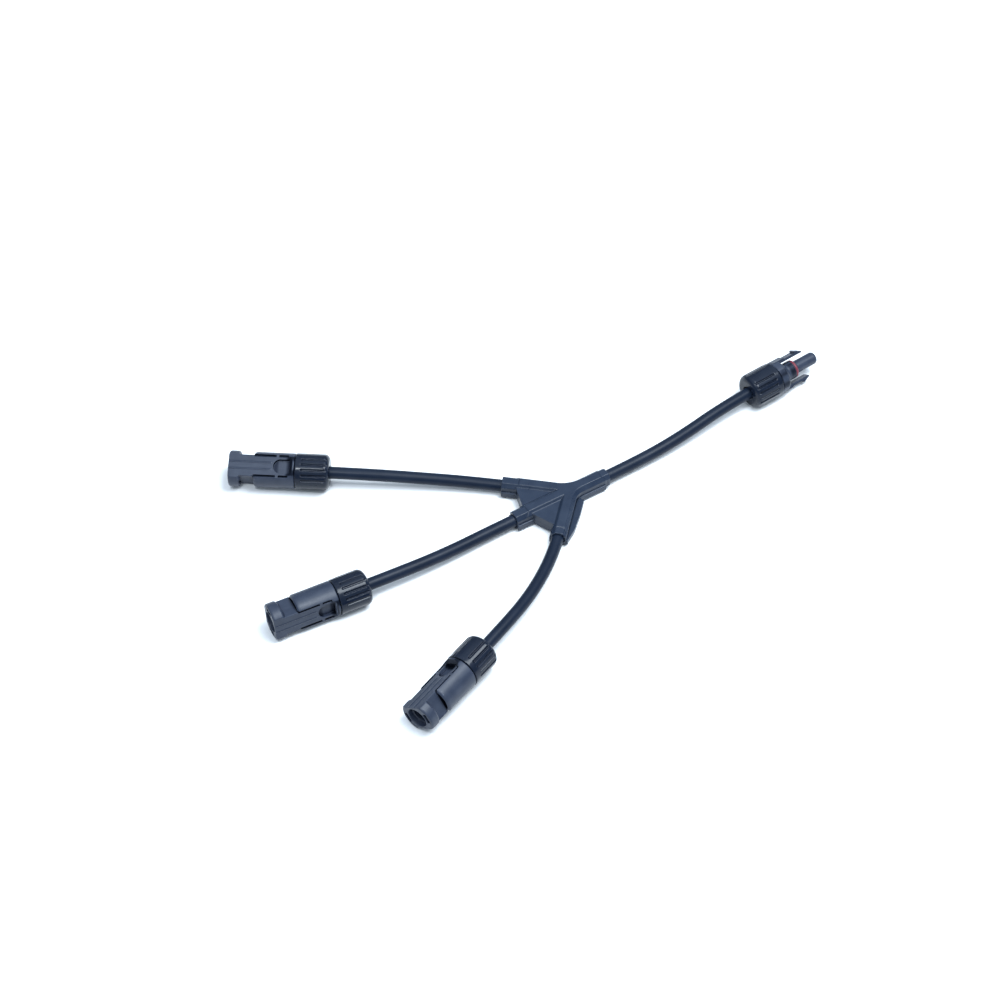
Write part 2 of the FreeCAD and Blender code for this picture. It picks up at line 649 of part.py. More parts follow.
def splitter_shell():
    """Moulded splitter: ridged arms, stepped bosses, webs and tapered trunk."""
    parts = [octagon_bar(BOSS_WIDTH, TRUNK_REACH - 2.5, TRUNK_LIP_REACH, BOSS_DROP)]
    for key, end in BOSS_END.items():
        parts.append(along(key, octagon_bar(BOSS_WIDTH, ARM_REACH - 2.5, end, BOSS_DROP)))
    parts.append(web("a", "b", WEB_REACH_AB, WEB_DROP))
    parts.append(web("b", "c", WEB_REACH_BC, WEB_DROP))
    parts.append(gusset())
    body = ridged_core().fuse(parts)
    for key in ARM_ANGLE:
        start = TRUNK_LEAD_START if key == "d" else LEAD_START
        hole = Part.makeCylinder(LEAD_HOLE_R, 60, V(start - 0.1, 0, LEAD_LEVEL), V(1, 0, 0))
        wire_hole = Part.makeCylinder(CONDUCTOR_R + 0.1, 20, V(0, 0, LEAD_LEVEL), V(1, 0, 0))
        body = body.cut(along(key, hole))
        body = body.cut(along(key, wire_hole))
    return one_solid(body.cut(ferrule_cavity()))


def gland_set(key):
    """Seal, cage and nut of one connector."""
    return {
        "cable_seal_" + key: seat_in_place(cable_seal(), key),
        "clamp_cage_" + key: seat_in_place(clamp_cage(), key),
        "gland_nut_" + key: seat_in_place(about_x(gland_nut(), CONNECTORS[key]["nut_turn"]), key),
        "retaining_clip_" + key: seat_in_place(retaining_clip(), key),
    }


def build():
    """Every piece of the lead by node name."""
    pieces = {"splitter_shell": splitter_shell(), "splice_ferrule": ferrule()}
    for key in CONNECTORS:
        pieces.update(lead_pieces(key))
        pieces.update(gland_set(key))
    for key in ("a", "b", "c"):
        pieces["pin_housing_" + key] = seat_in_place(pin_housing(), key)
        pieces["pin_contact_" + key] = seat_in_place(pin_contact(), key)
    pieces["socket_housing_d"] = seat_in_place(socket_housing(), "d")
    pieces["socket_contact_d"] = seat_in_place(socket_contact(), "d")
    pieces["contact_band_d"] = seat_in_place(contact_band(), "d")
    pieces["o_ring_d"] = seat_in_place(o_ring(), "d")
    pieces["latch_arm_d_upper"] = seat_in_place(latch_arm(), "d")
    pieces["latch_arm_d_lower"] = seat_in_place(about_x(latch_arm(), 180), "d")
    return pieces


os.makedirs("parts", exist_ok=True)
for name, piece in sorted(build().items()):
    if not piece.isValid():
        raise RuntimeError(name + " is not valid")
    piece.exportStep("parts/%s.step" % name)
    print(name, "volume", round(piece.Volume, 1))
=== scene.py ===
import math

import bpy
import numpy as np
from mathutils import Matrix, Vector


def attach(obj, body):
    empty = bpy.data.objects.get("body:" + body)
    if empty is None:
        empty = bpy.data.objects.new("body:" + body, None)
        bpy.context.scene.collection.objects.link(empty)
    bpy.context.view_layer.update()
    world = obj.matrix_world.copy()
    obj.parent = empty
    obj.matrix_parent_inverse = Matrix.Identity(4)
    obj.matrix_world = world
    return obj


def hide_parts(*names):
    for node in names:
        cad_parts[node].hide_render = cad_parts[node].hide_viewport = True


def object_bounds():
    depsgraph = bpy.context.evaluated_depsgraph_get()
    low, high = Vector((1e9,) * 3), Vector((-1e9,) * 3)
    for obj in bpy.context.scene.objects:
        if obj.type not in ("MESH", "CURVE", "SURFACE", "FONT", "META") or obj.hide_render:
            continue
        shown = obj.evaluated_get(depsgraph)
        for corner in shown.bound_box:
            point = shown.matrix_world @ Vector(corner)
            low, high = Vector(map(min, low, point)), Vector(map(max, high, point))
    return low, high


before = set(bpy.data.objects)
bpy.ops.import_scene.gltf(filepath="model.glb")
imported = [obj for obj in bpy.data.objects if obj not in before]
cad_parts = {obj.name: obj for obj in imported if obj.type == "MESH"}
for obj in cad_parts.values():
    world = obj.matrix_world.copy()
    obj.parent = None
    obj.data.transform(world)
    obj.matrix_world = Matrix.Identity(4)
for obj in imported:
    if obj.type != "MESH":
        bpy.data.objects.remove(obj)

cad_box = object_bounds()


# The table and the light: the lead lies on a wide sheet of white paper in cool air that is
# brightest overhead, under a broad lamp and a small one that puts narrow streaks on ribs.
scene = bpy.context.scene
scene.view_settings.view_transform = "Standard"

LOOK_AT = Vector((-0.0316, 0.0192, 0.0))
LOOK_DISTANCE = 1.263
LOOK_AZIMUTH = math.radians(-31.5)
LOOK_ELEVATION = math.radians(50.0)
LENS = 86.4
PAPER_HALF = 4.0
PAPER_GAP = 0.00005
PAPER_TONES = ((0.77, 0.775, 0.79, 1), (0.80, 0.805, 0.82, 1))
PAPER_ROUGHNESS = (0.75, 0.9)
AIR_COLOUR = (0.76, 0.88, 1.0, 1.0)
AIR_LOW = 0.40
AIR_OVERHEAD = 1.75
AIR_RISES_BETWEEN = (0.45, 0.97)
LAMP_COLOUR = (0.86, 0.94, 1.0)
LAMPS = [
    # name, place, size, power
    ("broad_softbox", (0.30, -0.26, 1.15), 0.65, 22.0),
    ("streak_softbox", (-0.42, -0.22, 0.95), 0.12, 3.4),
]


def place(name, data, matrix=Matrix.Identity(4)):
    """New object in the scene, at its place."""
    made = bpy.data.objects.new(name, data)
    made.matrix_world = matrix
    scene.collection.objects.link(made)
    return made


def facing(position, target):
    """Matrix of a lamp or camera that stands at a position and looks at a target."""
    turn = (target - position).to_track_quat("-Z", "Y").to_matrix().to_4x4()
    return Matrix.Translation(position) @ turn


def node(tree, kind, inputs=None, **settings):
    """One shader node. Inputs are values or other nodes' outputs, by socket name or number."""
    made = tree.nodes.new(kind)
    for name, value in settings.items():
        setattr(made, name, value)
    for socket, value in (inputs or {}).items():
        if isinstance(value, bpy.types.NodeSocket):
            tree.links.new(value, made.inputs[socket])
        else:
            made.inputs[socket].default_value = value
    return made


def mixed(tree, mask, first, second):
    """Colour that goes from the first to the second as the mask goes from 0 to 1."""
    return node(tree, "ShaderNodeMix", {0: mask, 6: first, 7: second}, data_type="RGBA").outputs[2]


def ranged(tree, value, low, high, to_low=0.0, to_high=1.0):
    """Value stretched from one range to another, and held inside it."""
    made = node(tree, "ShaderNodeMapRange", {"Value": value, "From Min": low, "From Max": high,
                                             "To Min": to_low, "To Max": to_high})
    return made.outputs["Result"]


def sums(tree, operation, first, second):
    """One step of arithmetic on two values."""
    return node(tree, "ShaderNodeMath", {0: first, 1: second}, operation=operation).outputs[0]


def finish(name, gloss=0.5):
    """New material: itself, its node tree and its Principled shader."""
    made = bpy.data.materials.new(name)
    made.use_nodes = True
    principled = made.node_tree.nodes["Principled BSDF"]
    principled.inputs["Specular IOR Level"].default_value = gloss
    return made, made.node_tree, principled


def connect(tree, shader, colour, roughness, height, depth):
    """Gives a shader its colour, its roughness and a bump of a real depth in metres."""
    tree.links.new(colour, shader.inputs["Base Color"])
    tree.links.new(roughness, shader.inputs["Roughness"])
    bump = node(tree, "ShaderNodeBump", {"Height": height, "Distance": depth})
    tree.links.new(bump.outputs["Normal"], shader.inputs["Normal"])


toward = Vector((
    -math.sin(LOOK_AZIMUTH) * math.cos(LOOK_ELEVATION),
    math.cos(LOOK_AZIMUTH) * math.cos(LOOK_ELEVATION),
    -math.sin(LOOK_ELEVATION),
))
camera = bpy.data.cameras.new("camera")
camera.lens = LENS
scene.camera = place("camera", camera, facing(LOOK_AT - LOOK_DISTANCE * toward, LOOK_AT))

for name, position, size, power in LAMPS:
    lamp = bpy.data.lights.new(name, "AREA")
    lamp.size = size
    lamp.energy = power
    lamp.color = LAMP_COLOUR
    place(name, lamp, facing(Vector(position), LOOK_AT))

air = bpy.data.worlds.new("studio_air")
air.use_nodes = True
scene.world = air
sky = air.node_tree.nodes["Background"]
sky.inputs["Color"].default_value = AIR_COLOUR
direction = node(air.node_tree, "ShaderNodeTexCoord").outputs["Generated"]
height = node(air.node_tree, "ShaderNodeSeparateXYZ", {0: direction}).outputs["Z"]
strength = ranged(air.node_tree, height, *AIR_RISES_BETWEEN, AIR_LOW, AIR_OVERHEAD)
air.node_tree.links.new(strength, sky.inputs["Strength"])

paper_mesh = bpy.data.meshes.new("white_paper")
corners = [(x * PAPER_HALF, y * PAPER_HALF, 0.0) for x, y in ((-1, -1), (1, -1), (1, 1), (-1, 1))]
paper_mesh.from_pydata(corners, [], [(0, 1, 2, 3)])
white, tree, shader = finish("white_paper")
where = node(tree, "ShaderNodeTexCoord").outputs["Object"]
tooth = node(tree, "ShaderNodeTexNoise", {"Vector": where, "Scale": 900.0, "Detail": 3.0}).outputs["Fac"]
connect(tree, shader, mixed(tree, tooth, *PAPER_TONES),
        ranged(tree, tooth, 0.3, 0.7, *PAPER_ROUGHNESS), tooth, depth=0.00001)
paper_mesh.materials.append(white)
place("white_paper", paper_mesh, Matrix.Translation((0, 0, cad_box[0].z - PAPER_GAP)))


# Leads: four lengths of round solar cable, tinned copper strands in a tough extruded jacket
# of cross-linked polyolefin. Each is moulded into the splitter at one end and sealed in the
# gland of its connector at the other.
JACKET_DIAMETER = 0.0065
LEAD_LEVEL = 0.005
LEAD_START = 0.014
TRUNK_LEAD_START = 0.0125
CONNECTOR_LEVEL = 0.0095
JACKET_END = -0.0005
ARM_ANGLE = {"a": 139.5, "b": 180.0, "c": 226.0, "d": 0.0}
CONNECTORS = {
    # place of the joint between housing and nut, heading of the nose, turn about its axis
    "a": ((-0.1170, 0.0855), 145.2, -22.0),
    "b": ((-0.1405, 0.0012), 174.8, -82.0),
    "c": ((-0.1094, -0.0716), 201.2, 36.0),
    "d": ((0.1361, 0.00792), 3.7, 54.0),
}
JACKET_TONES = ((0.0045, 0.0088, 0.0195, 1), (0.0078, 0.0128, 0.0255, 1))
DRAW_LINE_TONE = (0.0120, 0.0165, 0.0270, 1)
JACKET_DUST = (0.09, 0.10, 0.11, 1)


def seat(key):
    """Matrix that takes a connector's own axes to its place in the lead."""
    at, heading, roll = CONNECTORS[key]
    turned = Matrix.Rotation(math.radians(heading), 4, "Z") @ Matrix.Rotation(math.radians(roll), 4, "X")
    return Matrix.Translation((at[0], at[1], CONNECTOR_LEVEL)) @ turned


def on_arm(key, distance):
    """Point on the axis of a splitter arm."""
    angle = math.radians(ARM_ANGLE[key])
    return (distance * math.cos(angle), distance * math.sin(angle), LEAD_LEVEL)


def on_connector(key, x):
    """Point on a connector's axis, x from the joint between housing and nut."""
    return tuple(seat(key) @ Vector((x, 0, 0)))


# each lead starts straight out of its splitter arm, passes one free point, and ends straight
# along its connector's axis
LEAD_ROUTE = {
    "a": [on_arm("a", LEAD_START), on_arm("a", 0.046), (-0.0628, 0.0492, 0.0070),
          on_connector("a", -0.0315), on_connector("a", JACKET_END)],
    "b": [on_arm("b", LEAD_START), on_arm("b", 0.046), (-0.0782, -0.0019, 0.0068),
          on_connector("b", -0.031), on_connector("b", JACKET_END)],
    "c": [on_arm("c", LEAD_START), on_arm("c", 0.0385), (-0.0522, -0.0464, 0.0066),
          on_connector("c", -0.031), on_connector("c", JACKET_END)],
    "d": [on_arm("d", TRUNK_LEAD_START), (0.040, 0.0, 0.0050), (0.0684, 0.0009, 0.0069),
          on_connector("d", -0.031), on_connector("d", JACKET_END)],
}


def lead_curve(name, points, diameter):
    """Round cord on a smooth line with the route's points as its control points."""
    curve = bpy.data.curves.new(name, "CURVE")
    curve.dimensions = "3D"
    curve.bevel_depth = diameter / 2
    curve.bevel_resolution = 12
    curve.resolution_u = 24
    curve.use_fill_caps = True
    spline = curve.splines.new("NURBS")
    spline.points.add(len(points) - 1)
    for control, point in zip(spline.points, points):
        control.co = (*point, 1.0)
    spline.order_u = 3
    spline.use_endpoint_u = True
    return place(name, curve)


def group(name, inputs, outputs):
    """Empty shader node group with named sockets: its tree, its input and its output node."""
    made = bpy.data.node_groups.new(name, "ShaderNodeTree")
    for title, value in inputs.items():
        kind = "NodeSocketVector" if value is None else "NodeSocketFloat"
        socket = made.interface.new_socket(title, in_out="INPUT", socket_type=kind)
        if value is not None:
            socket.default_value = value
    for title in outputs:
        made.interface.new_socket(title, in_out="OUTPUT", socket_type="NodeSocketFloat")
    return made, made.nodes.new("NodeGroupInput"), made.nodes.new("NodeGroupOutput")


# mould grain: fine tooth with shallow pits, and a slow cloud of tone
mould_grain, given, out = group("mould_grain", {"Vector": None, "Grain": 6500.0, "Cloud Size": 140.0},
                                ["Height", "Cloud"])
fine = node(mould_grain, "ShaderNodeTexNoise", {"Vector": given.outputs["Vector"], "Detail": 2.0,
                                                "Scale": given.outputs["Grain"]}).outputs["Fac"]
pit_scale = sums(mould_grain, "MULTIPLY", given.outputs["Grain"], 0.55)
pits = node(mould_grain, "ShaderNodeTexVoronoi", {"Vector": given.outputs["Vector"],
                                                  "Scale": pit_scale}).outputs["Distance"]
mould_grain.links.new(sums(mould_grain, "ADD", sums(mould_grain, "MULTIPLY", fine, 0.6),
                           sums(mould_grain, "MULTIPLY", pits, 0.4)), out.inputs["Height"])
slow = node(mould_grain, "ShaderNodeTexNoise", {"Vector": given.outputs["Vector"], "Detail": 4.0,
                                                "Scale": given.outputs["Cloud Size"]}).outputs["Fac"]
mould_grain.links.new(ranged(mould_grain, slow, 0.35, 0.68), out.inputs["Cloud"])

# dust: sparse specks on the faces that look up
dust, given, out = group("dust", {"Vector": None, "Amount": 0.5}, ["Mask"])
specks = node(dust, "ShaderNodeTexNoise", {"Vector": given.outputs["Vector"], "Scale": 2400.0,
                                           "Detail": 2.0, "Roughness": 0.7}).outputs["Fac"]
up = node(dust, "ShaderNodeSeparateXYZ", {0: node(dust, "ShaderNodeNewGeometry").outputs["Normal"]})
lying = sums(dust, "MULTIPLY", ranged(dust, specks, 0.66, 0.74), ranged(dust, up.outputs["Z"], 0.3, 1.0))
dust.links.new(sums(dust, "MULTIPLY", lying, given.outputs["Amount"]), out.inputs["Mask"])


def effect(tree, which, where, **inputs):
    """A shared effect set in a material, with that material's own values."""
    made = node(tree, "ShaderNodeGroup", node_tree=which)
    tree.links.new(where, made.inputs["Vector"])
    for title, value in inputs.items():
        made.inputs[title.replace("_", " ").title()].default_value = value
    return made


# extruded jacket: fine draw lines along the cable and a waxy skin
jacket_skin, tree, shader = finish("jacket_skin", gloss=0.13)
where = node(tree, "ShaderNodeTexCoord")
drawn = node(tree, "ShaderNodeMapping", {"Vector": where.outputs["UV"], "Scale": (5.0, 55.0, 1.0)})
lines = node(tree, "ShaderNodeTexNoise", {"Vector": drawn.outputs["Vector"], "Scale": 1.0,
                                          "Detail": 5.0, "Roughness": 0.65}).outputs["Fac"]
grain = effect(tree, mould_grain, where.outputs["Object"], grain=5200.0, cloud_size=70.0)
specks = effect(tree, dust, where.outputs["Object"], amount=0.35)
tone = mixed(tree, grain.outputs["Cloud"], *JACKET_TONES)
tone = mixed(tree, ranged(tree, lines, 0.55, 0.8), tone, DRAW_LINE_TONE)
tone = mixed(tree, specks.outputs["Mask"], tone, JACKET_DUST)
height = sums(tree, "ADD", sums(tree, "MULTIPLY", lines, 0.7),
              sums(tree, "MULTIPLY", grain.outputs["Height"], 0.3))
connect(tree, shader, tone, ranged(tree, lines, 0.3, 0.7, 0.30, 0.44), height, depth=0.00004)

jackets = {}
for key, points in LEAD_ROUTE.items():
    jacket = lead_curve("cable_%s_jacket_shown" % key, points, JACKET_DIAMETER)
    jacket.data.materials.append(jacket_skin)
    jackets[key] = jacket


# Conductors: stranded tinned copper in the middle of each jacket, hidden between the crimp
# in the splitter and the crimp in the contact.
COPPER_TONES = ((0.62, 0.40, 0.28, 1), (0.72, 0.60, 0.50, 1))
copper_skin, tree, shader = finish("tinned_strands")
where = node(tree, "ShaderNodeTexCoord").outputs["Object"]
strands = node(tree, "ShaderNodeTexWave", {"Vector": where, "Scale": 900.0, "Distortion": 1.5},
               wave_type="BANDS", bands_direction="DIAGONAL").outputs["Fac"]
tarnish = node(tree, "ShaderNodeTexNoise", {"Vector": where, "Scale": 400.0, "Detail": 4.0}).outputs["Fac"]
shader.inputs["Metallic"].default_value = 1.0
connect(tree, shader, mixed(tree, tarnish, *COPPER_TONES),
        ranged(tree, tarnish, 0.3, 0.7, 0.25, 0.45), strands, depth=0.00008)


def dress(material, *names):
    """Puts a finish on CAD pieces that stay as they are."""
    for name in names:
        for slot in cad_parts[name].material_slots:
            slot.material = material


dress(copper_skin, *("cable_%s_copper" % key for key in LEAD_ROUTE))


# Splitter: one piece of soft thermoplastic moulded over the four leads and their splice.
# Flat-topped ridges on a wider base follow the leads, thin webs and a gusset fill the
# corners, and each lead leaves through a stepped boss.
MM = 0.001
WELD_WITHIN = 0.000001
SPLITTER_VOXEL = 0.17 * MM
SPLITTER_PASSES = 9
FLASH_LEVEL = 4.3 * MM
FLASH_HEIGHT = 0.07 * MM
FLASH_REACH = 0.26 * MM
FOOT_MARKS = ((0.0, 0.0), (-0.024, 0.0), (-0.018, 0.0155), (-0.0170, -0.0175))
FOOT_MARK_R = 1.4 * MM
FOOT_MARK_DEPTH = 0.08 * MM
MARK_EDGE = 0.25 * MM
MARK_LAYER = 0.4 * MM
SPLITTER_TONES = ((0.0090, 0.0160, 0.0330, 1), (0.0140, 0.0225, 0.0420, 1))
# painted shade for creases, and an edge tone that is partly wear and partly a painted highlight
SPLITTER_PAINTED_SHADE = (0.0020, 0.0040, 0.0100, 1)
SPLITTER_EDGE_WEAR_AND_HIGHLIGHT = (0.060, 0.075, 0.105, 1)
SPLITTER_DUST = (0.10, 0.11, 0.12, 1)


def rounded_moulding(name, node_name, matrix, voxel, passes):
    """Piece with a CAD node's form and the soft edges and corners of a real moulding."""
    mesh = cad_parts[node_name].data.copy()
    mesh.transform(matrix.inverted())
    piece = place(name, mesh, matrix)
    piece.modifiers.new("weld", "WELD").merge_threshold = WELD_WITHIN
    remesh = piece.modifiers.new("round", "REMESH")
    remesh.mode = "VOXEL"
    remesh.voxel_size = voxel
    remesh.use_smooth_shade = True
    soft = piece.modifiers.new("soft", "SMOOTH")
    soft.factor = 0.5
    soft.iterations = passes
    seen = piece.evaluated_get(bpy.context.evaluated_depsgraph_get())
    piece.data = bpy.data.meshes.new_from_object(seen)
    piece.modifiers.clear()
    piece.data.materials.clear()
    return piece


def vertex_table(mesh, what):
    """Vertex places or normals as a table, one row each."""
    table = np.empty(len(mesh.vertices) * 3, dtype=np.float32)
    source = mesh.vertices if what == "co" else mesh.vertex_normals
    source.foreach_get("co" if what == "co" else "vector", table)
    return table.reshape(-1, 3).astype(np.float64)


def set_places(mesh, table):
    """Puts moved vertex places back into a mesh."""
    mesh.vertices.foreach_set("co", table.astype(np.float32).ravel())
    mesh.update()


def bell(distance, reach):
    """1 at no distance, falling smoothly to 0 at the reach."""
    part = np.clip(1 - np.abs(distance) / reach, 0, 1)
    return part * part * (3 - 2 * part)


def disc_mark(table, normals, centre, facing_up, radius, depth):
    """Shallow round mark that a mould pin leaves in a flat face."""
    away = np.hypot(table[:, 0] - centre[0], table[:, 1] - centre[1])
    level = np.abs(table[:, 2] - centre[2]) < MARK_LAYER
    flat = normals[:, 2] * facing_up > 0.9
    edge = np.clip((radius - away) / MARK_EDGE + 0.5, 0, 1)
    table[:, 2] -= facing_up * depth * edge * (level & flat)


splitter = rounded_moulding("splitter_shown", "splitter_shell", Matrix.Identity(4),
                            SPLITTER_VOXEL, SPLITTER_PASSES)
table = vertex_table(splitter.data, "co")
normals = vertex_table(splitter.data, "normal")
side_wall = np.abs(normals[:, 2]) < 0.25
flash = FLASH_HEIGHT * bell(table[:, 2] - FLASH_LEVEL, FLASH_REACH) * side_wall
table += normals * flash[:, None]
for x, y in FOOT_MARKS:
    disc_mark(table, normals, (x, y, 0.0), -1, FOOT_MARK_R, FOOT_MARK_DEPTH)
set_places(splitter.data, table)

# edge wear and painted highlight: bright where an edge stands out, partly rubbed by handling and
# partly a painted highlight; and a second mask that says how far a corner or groove goes in, for painted
# shade there
EDGE_LIGHT_FROM = 0.525
wear_highlight_and_shade, given, out = group("wear_highlight_and_shade", {"Vector": None, "Reach": 0.06, "Break Up": 900.0},
                              ["Mask", "Painted Shade"])
sharp = node(wear_highlight_and_shade, "ShaderNodeNewGeometry").outputs["Pointiness"]
top = sums(wear_highlight_and_shade, "ADD", given.outputs["Reach"], EDGE_LIGHT_FROM)
patchy = node(wear_highlight_and_shade, "ShaderNodeTexNoise", {"Vector": given.outputs["Vector"], "Detail": 3.0,
                                                "Scale": given.outputs["Break Up"]}).outputs["Fac"]
wear_highlight_and_shade.links.new(sums(wear_highlight_and_shade, "MULTIPLY", ranged(wear_highlight_and_shade, sharp, EDGE_LIGHT_FROM, top),
                         ranged(wear_highlight_and_shade, patchy, 0.3, 0.6, 0.35, 1.0)), out.inputs["Mask"])
# painted shade: darker the further a corner or groove turns inward
wear_highlight_and_shade.links.new(ranged(wear_highlight_and_shade, sharp, 0.497, 0.455), out.inputs["Painted Shade"])


def dim_shine_in_shade(tree, shader, mask, share):
    """Takes a share of the shine off where the painted shade lies deep: as metal, its tone only shows
    itself.
    """
    tree.links.new(ranged(tree, mask, 0.0, 1.0, 0.0, share), shader.inputs["Metallic"])


splitter_skin, tree, shader = finish("splitter_skin", gloss=0.26)
where = node(tree, "ShaderNodeTexCoord").outputs["Object"]
grain = effect(tree, mould_grain, where, grain=3600.0, cloud_size=110.0)
wear_and_painted_light = effect(tree, wear_highlight_and_shade, where, reach=0.045, break_up=600.0)
specks = effect(tree, dust, where, amount=0.5)
tone = mixed(tree, grain.outputs["Cloud"], *SPLITTER_TONES)
# painted shade: creases and corners darker, as shade falls there
tone = mixed(tree, wear_and_painted_light.outputs["Painted Shade"], tone, SPLITTER_PAINTED_SHADE)
# lighter edges: partly rubbed wear, partly a painted highlight
tone = mixed(tree, wear_and_painted_light.outputs["Mask"], tone, SPLITTER_EDGE_WEAR_AND_HIGHLIGHT)
tone = mixed(tree, specks.outputs["Mask"], tone, SPLITTER_DUST)
# painted shade: less shine in the creases
dim_shine_in_shade(tree, shader, wear_and_painted_light.outputs["Painted Shade"], 0.77)
rough = ranged(tree, grain.outputs["Cloud"], 0.0, 1.0, 0.27, 0.36)
connect(tree, shader, tone, rough, grain.outputs["Height"], depth=0.00003)
splitter.data.materials.append(splitter_skin)
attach(splitter, "lead")
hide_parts("splitter_shell")

for key, jacket in jackets.items():
    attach(jacket, "lead")
    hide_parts("cable_%s_jacket" % key)


# Splice: a short crimped sleeve of tinned copper inside the splitter, where the four
# conductors meet.
TIN_TONES = ((0.66, 0.64, 0.60, 1), (0.80, 0.78, 0.75, 1))
tinned_skin, tree, shader = finish("tinned_copper_skin")
where = node(tree, "ShaderNodeTexCoord").outputs["Object"]
dull = node(tree, "ShaderNodeTexNoise", {"Vector": where, "Scale": 500.0, "Detail": 5.0}).outputs["Fac"]
marks = node(tree, "ShaderNodeTexNoise", {"Vector": where, "Scale": 4200.0, "Detail": 2.0}).outputs["Fac"]
shader.inputs["Metallic"].default_value = 1.0
connect(tree, shader, mixed(tree, dull, *TIN_TONES),
        ranged(tree, dull, 0.3, 0.7, 0.18, 0.36), marks, depth=0.00001)
dress(tinned_skin, "splice_ferrule")


# Contacts: each conductor ends in the crimp barrel of a turned, tin-plated copper contact.
# Three are solid pins. The fourth is a socket with a louvred spring band inside, and a
# sprung steel clip holds each one in its housing.
BAND_TONES = ((0.72, 0.60, 0.36, 1), (0.86, 0.76, 0.52, 1))
STEEL_TONES = ((0.42, 0.43, 0.45, 1), (0.60, 0.61, 0.62, 1))
dress(tinned_skin, "pin_contact_a", "pin_contact_b", "pin_contact_c", "socket_contact_d")

band_skin, tree, shader = finish("silvered_band_skin")
where = node(tree, "ShaderNodeTexCoord").outputs["Object"]
dull = node(tree, "ShaderNodeTexNoise", {"Vector": where, "Scale": 900.0, "Detail": 4.0}).outputs["Fac"]
shader.inputs["Metallic"].default_value = 1.0
connect(tree, shader, mixed(tree, dull, *BAND_TONES),
        ranged(tree, dull, 0.3, 0.7, 0.16, 0.30), dull, depth=0.00001)
dress(band_skin, "contact_band_d")

steel_skin, tree, shader = finish("spring_steel_skin")
where = node(tree, "ShaderNodeTexCoord").outputs["Object"]
rolled = node(tree, "ShaderNodeMapping", {"Vector": where, "Scale": (300.0, 6000.0, 6000.0)})
brushed = node(tree, "ShaderNodeTexNoise", {"Vector": rolled.outputs["Vector"], "Scale": 1.0,
                                            "Detail": 3.0}).outputs["Fac"]
shader.inputs["Metallic"].default_value = 1.0
connect(tree, shader, mixed(tree, brushed, *STEEL_TONES),
        ranged(tree, brushed, 0.3, 0.7, 0.22, 0.38), brushed, depth=0.00001)
dress(steel_skin, *("retaining_clip_%s" % key for key in CONNECTORS))


# Cable seals and clamp cages: a soft rubber sleeve round each lead, and a slotted nylon
# cage that presses it and grips the jacket when the nut is screwed up.
SEAL_TONES = ((0.030, 0.031, 0.034, 1), (0.048, 0.050, 0.054, 1))
CAGE_TONES = ((0.30, 0.30, 0.28, 1), (0.38, 0.38, 0.35, 1))
rubber_skin, tree, shader = finish("seal_rubber_skin")
where = node(tree, "ShaderNodeTexCoord").outputs["Object"]
grain = effect(tree, mould_grain, where, grain=4200.0, cloud_size=200.0)
connect(tree, shader, mixed(tree, grain.outputs["Cloud"], *SEAL_TONES),
        ranged(tree, grain.outputs["Height"], 0.2, 0.8, 0.55, 0.75), grain.outputs["Height"],
        depth=0.00002)
dress(rubber_skin, *("cable_seal_%s" % key for key in CONNECTORS))

cage_skin, tree, shader = finish("cage_nylon_skin")
where = node(tree, "ShaderNodeTexCoord").outputs["Object"]
grain = effect(tree, mould_grain, where, grain=5200.0, cloud_size=260.0)
connect(tree, shader, mixed(tree, grain.outputs["Cloud"], *CAGE_TONES),
        ranged(tree, grain.outputs["Height"], 0.2, 0.8, 0.38, 0.52), grain.outputs["Height"],
        depth=0.00002)
dress(cage_skin, *("clamp_cage_%s" % key for key in CONNECTORS))


# Housings: glass-filled polyamide mouldings. The three pin-contact ones have flat sides with
# release slots, a thumb scoop, a narrow neck and a square-shouldered head round the mating
# bore. Each has a threaded spigot behind for its gland nut.
HOUSING_VOXEL = 0.15 * MM
HOUSING_PASSES = 4
THREAD_PITCH = 1.5 * MM
THREAD_DEPTH = 0.42 * MM
THREAD_BETWEEN_R = (7.3 * MM, 8.0 * MM)
SPIGOT_FROM = -12.2 * MM
SPIGOT_TO = -0.9 * MM
FLAT_MARKS_X = (17.5 * MM, 24.5 * MM, 31.5 * MM)
FLAT_LEVEL = -6.6 * MM
FLAT_MARK_R = 0.9 * MM
FLAT_MARK_DEPTH = 0.07 * MM
HOUSING_TONES = ((0.0170, 0.0235, 0.0420, 1), (0.0240, 0.0315, 0.0520, 1))
FLOW_STREAK = (0.0300, 0.0385, 0.0610, 1)
# painted shade for slots, scoop and creases, and an edge tone that is partly wear and partly a painted
# highlight
HOUSING_PAINTED_SHADE = (0.0030, 0.0055, 0.0130, 1)
HOUSING_EDGE_WEAR_AND_HIGHLIGHT = (0.055, 0.068, 0.100, 1)
HOUSING_DUST = (0.11, 0.12, 0.13, 1)
# painted shade: the release slots, the round end of the thumb scoop and its rise to the collar
# are painted dark, as shade falls there. Along the axis, across the flats and out of them, each
# dark patch starts at the first of two places and is full from the second on
SLOT_INNER = (4.9 * MM, 5.1 * MM)
SLOT_OUTER = (6.45 * MM, 6.30 * MM)
SLOT_BELOW = (6.50 * MM, 6.25 * MM)
SLOT_NOSE = (22.2 * MM, 21.9 * MM)
SCOOP_BACK = (8.2 * MM, 9.4 * MM)
SCOOP_NOSE = (12.2 * MM, 11.6 * MM)
SCOOP_BELOW = (6.3 * MM, 5.9 * MM)
SCOOP_SIDE = (4.6 * MM, 4.2 * MM)
SCOOP_SHADE_STRENGTH = 0.8
RISE_NOSE = (5.0 * MM, 3.6 * MM)
RISE_BELOW = (9.1 * MM, 8.8 * MM)
RISE_SIDE = (5.6 * MM, 4.9 * MM)
RISE_SHADE_STRENGTH = 0.85


